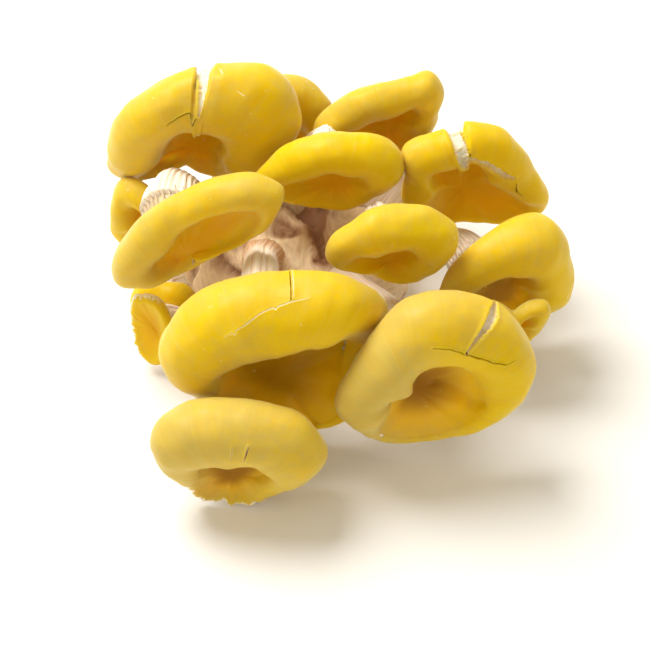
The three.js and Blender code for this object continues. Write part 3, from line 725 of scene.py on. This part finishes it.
def cap(name, shape, material):
    """The skin of a cap all round: hollow, roll and underside, with its lumps, pleats and marks."""
    bm = spun(NECK_END + 2, SMALL_CAP_SIDES if name in SMALL else CAP_SIDES)
    if shape.marks:
        finer_near_marks(bm, shape)
    paint_cap(bm, name, shape)
    thickness = bm.verts.layers.float.new("thickness")
    hollow, torn, crack_shade = [bm.verts.layers.float[mask] for mask in ("hollow", "torn", "crack_shade")]
    fibre = bm.verts.layers.float_vector["fibre"]
    skin, under = [], []
    for vert in bm.verts:
        ring, hour = ring_and_hour(vert.co)
        if ring < EDGE_START:
            cut = shape.cut(hour)
            vert[thickness] = mix(cut.margin, cut.bare, clamp((EDGE_START - ring) / 10))
            skin.append(vert)
        elif ring > UNDER_START + 1:
            under.append(vert)
        vert.co = shape.spot(hour, ring)
    bm.normal_update()
    pleated = PLEATS.get(name, SMALL_CAP_PLEATS if name in SMALL else PLAIN_PLEATS)
    moves = []
    for vert in skin:
        girth, along = vert[fibre].xy * PLEAT_COUNT, vert[fibre].z
        pleat = noise.noise(Vector((*girth, along * 0.04 + shape.seed)))
        sunk = pleated * pleat * vert[hollow] * ease(along / 16) * 1.6
        sunk -= uneven(vert.co, CAP_LUMPS) * clamp((vert[thickness] - MARGIN) / 0.5)
        for mark in shape.marks:
            deeper, bare = mark.at(vert.co)
            sunk += deeper
            # Cracks are painted dark brown inside, painted shade in the narrow cut; tears bare pale flesh.
            layer = crack_shade if mark.kind == "crack" else torn
            vert[layer] = max(vert[layer], bare)
        moves.append(vert.normal * -min(sunk, vert[thickness] - LEAST_SKIN))
    for vert, move in zip(skin, moves):
        vert.co += move
    bm.normal_update()
    above = SkinAbove(skin)
    for vert in under:
        vert.co = above.below(vert.co, LEAST_FLESH)
    finished(bm, "cap_" + name + "_skin", material, "cap_" + name)
    return above


def gill_count(name):
    return SMALL_CAP_GILLS if name in SMALL else LONG_GILLS


def gills(name, shape, above, material):
    """Thin blades under the cap, from its margin down to the neck."""
    rng = random.Random("gills " + name)
    whole = bmesh.new()
    depth = whole.verts.layers.float.new("depth")
    first = UNDER_START + 1.5
    for reach, times, offset in GILL_ROWS:
        long = reach == 1
        number = times * gill_count(name)
        for k in range(number):
            hour = 12 * ((k + offset) / number) + rng.uniform(-GILL_STRAY, GILL_STRAY)
            last = mix(first, NECK_END, 1.0 if long else reach * rng.uniform(0.9, 1.0))
            wander = rng.uniform(0, 50)
            blade = bmesh.ops.create_grid(whole, x_segments=GILL_STEPS, y_segments=1, size=0.5)
            for vert in blade["verts"]:
                t = vert.co.x + 0.5
                edge = vert.co.y > 0
                waver = GILL_WAVER * noise.noise(Vector((wander, 3.5 * t, 0))) * (1 - 0.5 * t)
                rise = ease(t * 5) * (1 if long else 1 - ease((t - 0.6) / 0.4))
                vert[depth] = 1.0 if edge else 0.0
                spot = shape.spot((hour + waver) % 12, mix(first, last, t), rise if edge else GILL_ROOTED)
                vert.co = above.below(spot, LEAST_OVER_GILL)
    bmesh.ops.solidify(whole, geom=whole.faces, thickness=GILL_THICKNESS)
    bmesh.ops.recalc_face_normals(whole, faces=whole.faces)
    finished(whole, "gills_" + name, material, "cap_" + name)


class Line:
    """The middle of a stem, square to the neck of its cap and then in one bend into the butt."""

    def __init__(self, mushroom):
        turned = cap_frame(mushroom)
        root = Vector(mushroom["root"])
        into = (BUTT_CENTRE - root).normalized()
        start = turned @ Vector((*mushroom["seat"], -mushroom["drop"] - GAP))
        end = root + into * STEM_SUNK
        length = (end - start).length
        self.across = turned.to_3x3() @ Vector((1, 0, 0))
        self.out_of_cap = turned.to_3x3() @ Vector((0, 0, -1))
        lean = Vector(mushroom["lean"])
        self.points = (
            start,
            start + self.out_of_cap * length * mushroom["lead"],
            end - into * length * ROOT_LEAD + lean,
            end,
        )
        fine = [self.at(k / 400) for k in range(401)]
        self.lengths = [0.0]
        for a, b in zip(fine, fine[1:]):
            self.lengths.append(self.lengths[-1] + (b - a).length)

    def at(self, t):
        return bezier(*self.points, t)

    def along(self, t):
        return (self.at(min(t + 0.005, 1)) - self.at(max(t - 0.005, 0))).normalized()

    def share(self, length):
        """The curve's own parameter at a length from its start."""
        for k in range(400):
            if self.lengths[k + 1] >= length:
                return (k + (length - self.lengths[k]) / (self.lengths[k + 1] - self.lengths[k])) / 400
        return 1.0


def stem_rings(line):
    """For each ring: its middle, two ways square to the line, the way it bends, the room on that side,
    and how far down it is, by the curve and by length."""
    total = line.lengths[-1]
    across = line.across.copy()
    rings = []
    for k in range(STEM_RINGS):
        length = mix(-STEM_OVERLAP, total, k / (STEM_RINGS - 1))
        t = line.share(max(length, 0))
        place = line.at(t) - line.out_of_cap * max(-length, 0)
        along = line.along(t)
        across = (across - along * across.dot(along)).normalized()
        # Inside a tight bend the stalk is squeezed flat before it would fold into itself.
        before, after = max(t - 1 / 6, 0), min(t + 1 / 6, 1)
        bend = line.along(after) - line.along(before)
        room = BEND_SHARE * (line.at(after) - line.at(before)).length / max(bend.length, 1e-6)
        square = (across.copy(), across.cross(along))
        rings.append((place, *square, bend.normalized(), room, t, max(length, 0) / total))
    return rings


def stem(name, mushroom, material):
    """A stalk with ribs where the gills run down it: sharp and uneven at the top, faint lower down."""
    line = Line(mushroom)
    rings = stem_rings(line)
    ribs = gill_count(name)
    seed = random.Random("stem " + name).uniform(0, 90)
    bm = spun(STEM_RINGS + 2, ribs * SIDES_TO_A_RIB)
    groove_shade_and_root_brown = bm.verts.layers.float.new("groove_shade_and_root_brown")
    fibre = bm.verts.layers.float_vector.new("fibre")
    for vert in bm.verts:
        ring, hour = ring_and_hour(vert.co)
        ring = round(ring)
        place, right, up, inwards, room, t, down = rings[min(max(ring - 1, 0), STEM_RINGS - 1)]
        way = round_the_clock(hour)
        girth = Vector((way.x, way.y, seed))
        waver = noise.noise(girth * 1.7 + Vector((0, 0, down * 2.5)))
        stray = 0.55 * noise.noise(girth * 3) + 0.3 * noise.noise(girth * 6)
        turn = math.radians(hour * 30) * ribs / 2 + waver * 3 * down + stray * 3.4
        ridge = abs(math.cos(turn)) ** 0.7
        strength = mix(NECK_GILL * 0.8, 0.25, ease(down * 1.5))
        strength *= clamp(0.7 + 1.2 * noise.noise(girth * 2.2 + Vector((0, 0, down * 3))))
        flute = noise.noise(girth * 1.9 + Vector((9, 0, down * 1.5))) * 0.7
        thread = noise.noise(Vector((way.x * 9, way.y * 9, seed + down * 2))) * 0.16
        radius = mushroom["neck"] * (1 - STEM_WAIST * math.sin(math.pi * t))
        radius *= 1 + STEM_FOOT * ease((down - 0.5) / 0.45)
        radius += thread + flute - strength * (1 - ridge)
        out = (right * way.x + up * way.y) * radius
        out -= inwards * max(out.dot(inwards) - room, 0)
        # Painted shade: the grooves between ribs are painted darker, and the front middle stem browner
        # below.
        root_shade_and_brown = ROOT_BROWN_AND_SHADE.get(name, PLAIN_ROOT_BROWN_AND_SHADE) * ease((down - 0.35) / 0.4)
        vert[groove_shade_and_root_brown] = (1 - ridge) * clamp(strength + 0.3) * (0.55 + root_shade_and_brown) + root_shade_and_brown * 0.8
        vert[fibre] = (way.x * 5, way.y * 5, down * line.lengths[-1])
        on_axis = ring in (0, STEM_RINGS + 1)
        vert.co = grown(place + (Vector() if on_axis else out))
        vert.co.z = max(vert.co.z, OFF_THE_TABLE)
    finished(bm, "stem_" + name + "_ribbed", material, "stem_" + name)


def off_the_line(spot, points):
    """How far a spot of the butt is from a line laid on it over (x, y, z, half width), and the width."""
    out = spot - BUTT_CENTRE
    laid = [(Vector(point[:3]) - BUTT_CENTRE).normalized() * out.length for point in points]
    found = []
    for k in range(len(points) - 1):
        step = laid[k + 1] - laid[k]
        t = clamp((out - laid[k]).dot(step) / step.length_squared)
        found.append(((out - laid[k] - step * t).length, mix(points[k][3], points[k + 1][3], t)))
    return min(found)


def butt(material):
    """The lump that all stems grow from, doughy, with soft lobes, and creases and pockets in painted shade.
    """
    bm = bmesh.new()
    bmesh.ops.create_icosphere(bm, subdivisions=7, radius=1)
    crease = bm.verts.layers.float.new("crease")
    fibre = bm.verts.layers.float_vector.new("fibre")
    roots = [(Vector(m["root"]) - BUTT_CENTRE).normalized() for m in MUSHROOMS.values()]
    for vert in bm.verts:
        way = vert.co.normalized()
        swell = sum(math.exp(SWELL_TIGHTNESS * (way.dot(root) - 1)) for root in roots)
        scaled = Vector(a / b for a, b in zip(way, BUTT_RADII))
        radius = 1 / scaled.length + SWELL_HEIGHT * min(swell, SWELL_LIMIT)
        spot = way * radius
        pocket = ease((-noise.noise(spot / 8 + Vector((7, 3, 5))) - 0.25) / 0.35)
        wrinkle = noise.noise(Vector((spot.x / 1.1, spot.y / 3.5, spot.z / 3))) * WRINKLE_HEIGHT
        place = BUTT_CENTRE + way * (radius + uneven(spot, BUTT_LUMPS))
        sunk = POCKET_DEPTH * pocket
        # The crease mask is painted shade: dark brown in the pockets and along the creases.
        vert[crease] = 0.7 * pocket
        bent = noise.noise(spot / 6) * 3
        vert[fibre] = (spot.x * 0.9 + bent, spot.z * 0.9 - bent, spot.y * 4)
        for depth, points in BUTT_CREASES:
            away, width = off_the_line(place, points)
            bell = math.exp(-((away / width) ** 2))
            sunk += depth * bell
            vert[crease] += math.exp(-((away / (1.6 * width + 0.8)) ** 2)) * min(depth, 1.5) / 1.5
        vert.co = grown(place + way * (wrinkle - sunk))
    everything = bm.verts[:] + bm.edges[:] + bm.faces[:]
    cut = bmesh.ops.bisect_plane(
        bm, geom=everything, plane_co=(0, 0, 0), plane_no=(0, 0, -1), clear_outer=True
    )
    rim = [part for part in cut["geom_cut"] if isinstance(part, bmesh.types.BMEdge)]
    bmesh.ops.holes_fill(bm, edges=rim, sides=0)
    bmesh.ops.recalc_face_normals(bm, faces=bm.faces)
    finished(bm, "butt_knobbly", material, "butt")


def linear(colour):
    """An sRGB hex colour as Blender's linear one."""
    parts = [int(colour[k:k + 2], 16) / 255 for k in (1, 3, 5)]
    return (*(p / 12.92 if p <= 0.04045 else ((p + 0.055) / 1.055) ** 2.4 for p in parts), 1)


def add(tree, kind, links=None, **settings):
    """A node with its settings, and its inputs by name or number, each a value or another's output."""
    node = tree.nodes.new(kind)
    for key, value in settings.items():
        setattr(node, key, value)
    for key, value in (links or {}).items():
        if isinstance(value, bpy.types.NodeSocket):
            tree.links.new(value, node.inputs[key])
        else:
            node.inputs[key].default_value = value
    return node


def new_material(name):
    material = bpy.data.materials.new(name)
    material.use_nodes = True
    material.node_tree.nodes.clear()
    return material, material.node_tree


def skin_material():
    """Oyster mushroom cuticle, as grown: a thin satin skin that light soaks into, deep yellow where it
    is ripe and strawy where it is not, with painted shade in its hollow, pit and cracks and a painted
    highlight along its crest."""
    material, tree = new_material("oyster_cuticle_grown")
    place = add(tree, "ShaderNodeTexCoord").outputs["Object"]
    read = {
        name: add(tree, "ShaderNodeAttribute", attribute_name=name).outputs["Fac"]
        for name in ("hollow", "pit", "gill", "torn", "crack_shade", "ripe_and_highlight")
    }
    fibre = add(tree, "ShaderNodeAttribute", attribute_name="fibre").outputs["Vector"]
    # Bumps in a metre: blotches of bloom 14 mm across, a mottle of 2 mm, pale specks 1.3 mm apart, and
    # a grain of 0.7 mm, drawn coarser than the real one, which is too fine to show. The specks are partly
    # the skin's own spots and partly painted glints, as of tiny droplets.
    noises = {}
    for name, scale, detail in (
        ("blotch", 70.0, 3.0), ("mottle", 480.0, 3.0), ("speck", 760.0, 0.0), ("grain", 1400.0, 2.0),
    ):
        pattern = {"Vector": place, "Scale": scale, "Detail": detail}
        noises[name] = add(tree, "ShaderNodeTexNoise", pattern).outputs["Fac"]
    # Bumps in a millimetre: fibres 0.6 mm wide and 14 mm long from the pit to the margin, and bands
    # 2 mm wide and 25 mm long.
    for name, across, along, detail in (("streak", 1.7, 0.07, 4.0), ("band", 0.45, 0.04, 3.0)):
        drawn = {"Vector": fibre, "Scale": (across, across, along)}
        drawn = add(tree, "ShaderNodeMapping", drawn).outputs["Vector"]
        pattern = {"Vector": drawn, "Scale": 1.0, "Detail": detail}
        noises[name] = add(tree, "ShaderNodeTexNoise", pattern).outputs["Fac"]
    # How much of each pattern shows: none below one level of its noise, and the share at the other.
    shown = {}
    for name, none, most, share in (
        ("band", 0.4, 0.75, 0.25), ("streak", 0.45, 0.75, 0.14), ("speck", 0.82, 0.87, 0.35),
        ("mottle", 0.4, 0.7, 0.5),
    ):
        levels = {0: noises[name], 1: none, 2: most, 3: 0.0, 4: share}
        shown[name] = add(tree, "ShaderNodeMapRange", levels).outputs[0]
    outside = add(tree, "ShaderNodeMath", {0: 1.0, 1: read["hollow"]}, operation="SUBTRACT").outputs[0]
    for name in ("band", "streak"):
        masked = {0: shown[name], 1: outside}
        shown[name] = add(tree, "ShaderNodeMath", masked, operation="MULTIPLY").outputs[0]
    ripeness_and_painted_light = read["ripe_and_highlight"]
    # Painted shade: the hollow is painted more lemon here, and a deeper gold below.
    for more, share in ((noises["blotch"], 1.5), (noises["mottle"], 0.8), (read["hollow"], 0.3)):
        terms = {0: more, 1: share, 2: ripeness_and_painted_light}
        ripeness_and_painted_light = add(tree, "ShaderNodeMath", terms, operation="MULTIPLY_ADD").outputs[0]
    terms = {0: ripeness_and_painted_light, 1: 1.15}
    ripeness_and_painted_light = add(tree, "ShaderNodeMath", terms, operation="SUBTRACT", use_clamp=True).outputs[0]
    # Painted shade: a deeper gold in the hollow, for the shade and the bounced light in it.
    hollow_shade = add(tree, "ShaderNodeMath", {0: read["hollow"], 1: 0.6}, operation="MULTIPLY").outputs[0]
    flesh = {0: shown["mottle"], 6: linear("#FFF3DC"), 7: linear("#F0CDA0")}
    flesh = add(tree, "ShaderNodeMix", flesh, data_type="RGBA").outputs[2]
    # Straw first, and then each colour laid over it by its own share. The hollow's gold, the pit's brown
    # and the cracks' dark brown are painted shade, and the specks are partly painted glints.
    colour = linear("#D2B857")
    for share, over in (
        (ripeness_and_painted_light, linear("#ECC600")), (shown["band"], linear("#DFAE04")),
        (shown["streak"], linear("#EBD476")), (hollow_shade, linear("#F6B000")),
        (read["pit"], linear("#8E5A04")), (shown["speck"], linear("#F4E6A6")),
        (read["gill"], linear("#F0DFB4")), (read["torn"], flesh), (read["crack_shade"], linear("#8C4A0A")),
    ):
        layer = {0: share, 6: colour, 7: over}
        colour = add(tree, "ShaderNodeMix", layer, data_type="RGBA").outputs[2]
    height = {0: noises["streak"], 1: 0.5, 2: noises["grain"]}
    height = add(tree, "ShaderNodeMath", height, operation="MULTIPLY_ADD").outputs[0]
    bump = {"Height": height, "Strength": 0.25, "Distance": 0.1 * MM}
    shader = add(tree, "ShaderNodeBsdfPrincipled", {
        "Base Color": colour, "Normal": add(tree, "ShaderNodeBump", bump).outputs[0],
        "Roughness": 0.38, "IOR": 1.4, "Specular IOR Level": 0.18,
        "Subsurface Weight": 0.5, "Subsurface Radius": (1.0, 0.62, 0.05), "Subsurface Scale": 4 * MM,
        "Sheen Weight": 0.18, "Sheen Roughness": 0.4, "Sheen Tint": (1.0, 0.95, 0.72, 1),
    })
    add(tree, "ShaderNodeOutputMaterial", {"Surface": shader.outputs[0]})
    return material


def flesh_material(name, pale, deep, mask, blotches, streaks):
    """Dry fibrous flesh, as grown: dull and a little see-through. It goes from pale to deep by a mask
    on the mesh, which on the stems and the butt is mostly painted shade in grooves, creases and
    towards the butt, by blotches, so many to a metre, and by the share of its fibres' streaks."""
    material, tree = new_material(name)
    place = add(tree, "ShaderNodeTexCoord").outputs["Object"]
    shaded = add(tree, "ShaderNodeAttribute", attribute_name=mask).outputs["Fac"]
    blotch = {"Vector": place, "Scale": blotches, "Detail": 4.0}
    blotch = add(tree, "ShaderNodeTexNoise", blotch).outputs["Fac"]
    # Fibres 0.9 mm wide that run down the flesh, 20 mm long in a stem.
    fibre = add(tree, "ShaderNodeAttribute", attribute_name="fibre").outputs["Vector"]
    drawn = {"Vector": fibre, "Scale": (1.1, 1.1, 0.05)}
    drawn = add(tree, "ShaderNodeMapping", drawn).outputs["Vector"]
    streak = {"Vector": drawn, "Scale": 1.0, "Detail": 3.0}
    streak = add(tree, "ShaderNodeTexNoise", streak).outputs["Fac"]
    both = shaded
    for more, share in ((streak, streaks), (blotch, 0.6)):
        terms = {0: more, 1: share, 2: both}
        both = add(tree, "ShaderNodeMath", terms, operation="MULTIPLY_ADD").outputs[0]
    least = 0.2 + streaks / 2
    levels = {0: both, 1: least, 2: least + 1, 3: 0.0, 4: 0.8}
    depth = add(tree, "ShaderNodeMapRange", levels).outputs[0]
    colour = {0: depth, 6: linear(pale), 7: linear(deep)}
    colour = add(tree, "ShaderNodeMix", colour, data_type="RGBA").outputs[2]
    # A grain of 0.6 mm, coarser than the real one so that it shows.
    grain = {"Vector": place, "Scale": 1600.0, "Detail": 3.0}
    grain = add(tree, "ShaderNodeTexNoise", grain).outputs["Fac"]
    bump = {"Height": grain, "Strength": 0.3, "Distance": 0.1 * MM}
    shader = add(tree, "ShaderNodeBsdfPrincipled", {
        "Base Color": colour, "Normal": add(tree, "ShaderNodeBump", bump).outputs[0],
        "Roughness": 0.65, "IOR": 1.4, "Specular IOR Level": 0.2,
        "Subsurface Weight": 0.35, "Subsurface Radius": (1.0, 0.65, 0.4), "Subsurface Scale": 2 * MM,
    })
    add(tree, "ShaderNodeOutputMaterial", {"Surface": shader.outputs[0]})
    return material


SKIN = skin_material()
# Blotches 7 mm across on the gills, 8 mm on the stems and 11 mm on the butt.
GILL = flesh_material("oyster_gill_blades", "#F5ECDC", "#DDB98F", "depth", 150.0, 0.0)
# The stems' deep colour is painted shade in the grooves between ribs and towards the butt.
STEM = flesh_material("oyster_stem_fibrous", "#FBF0DC", "#C98C48", "groove_shade_and_root_brown", 120.0, 0.6)
# The butt's deep brown is painted shade in its creases and pockets.
BUTT = flesh_material("oyster_butt_crease_shade", "#FFE4BC", "#824010", "crease", 90.0, 1.0)

for name, mushroom in MUSHROOMS.items():
    shape = CapShape(name)
    above = cap(name, shape, SKIN)
    gills(name, shape, above, GILL)
    stem(name, mushroom, STEM)
butt(BUTT)

# A pale table, a white room and one broad soft light from the left and behind.
bpy.ops.mesh.primitive_plane_add(size=6, location=(0, 0, 0))
table = bpy.context.object
table.name = "table"
paper, tree = new_material("table_white_matt")
shader = add(tree, "ShaderNodeBsdfPrincipled", {"Base Color": linear("#FBFAF8"), "Roughness": 0.9})
add(tree, "ShaderNodeOutputMaterial", {"Surface": shader.outputs[0]})
table.data.materials.append(paper)

world = bpy.data.worlds.new("white_room")
bpy.context.scene.world = world
world.use_nodes = True
glow = world.node_tree.nodes["Background"].inputs
glow["Color"].default_value = ROOM_COLOUR
glow["Strength"].default_value = ROOM_STRENGTH

lamp = bpy.data.lights.new("key", "AREA")
lamp.shape = "DISK"
lamp.size = KEY_SIZE
lamp.energy = KEY_POWER
lamp.color = KEY_COLOUR
key = bpy.data.objects.new("key", lamp)
bpy.context.scene.collection.objects.link(key)
key.location = KEY_PLACE
key.rotation_mode = "QUATERNION"
key.rotation_quaternion = (KEY_AIM - KEY_PLACE).to_track_quat("-Z", "Y")

camera = bpy.data.cameras.new("camera")
camera.lens = 108
camera.sensor_width = 36
camera.clip_start = 0.01
viewer = bpy.data.objects.new("camera", camera)
bpy.context.scene.collection.objects.link(viewer)
back = Vector((0, -math.cos(ELEVATION), math.sin(ELEVATION)))
viewer.location = LOOK_AT + back * DISTANCE
viewer.rotation_mode = "QUATERNION"
viewer.rotation_quaternion = (-back).to_track_quat("-Z", "Y")
bpy.context.scene.camera = viewer
bpy.context.scene.view_settings.view_transform = "Standard"
bpy.context.scene.view_settings.look = "None"
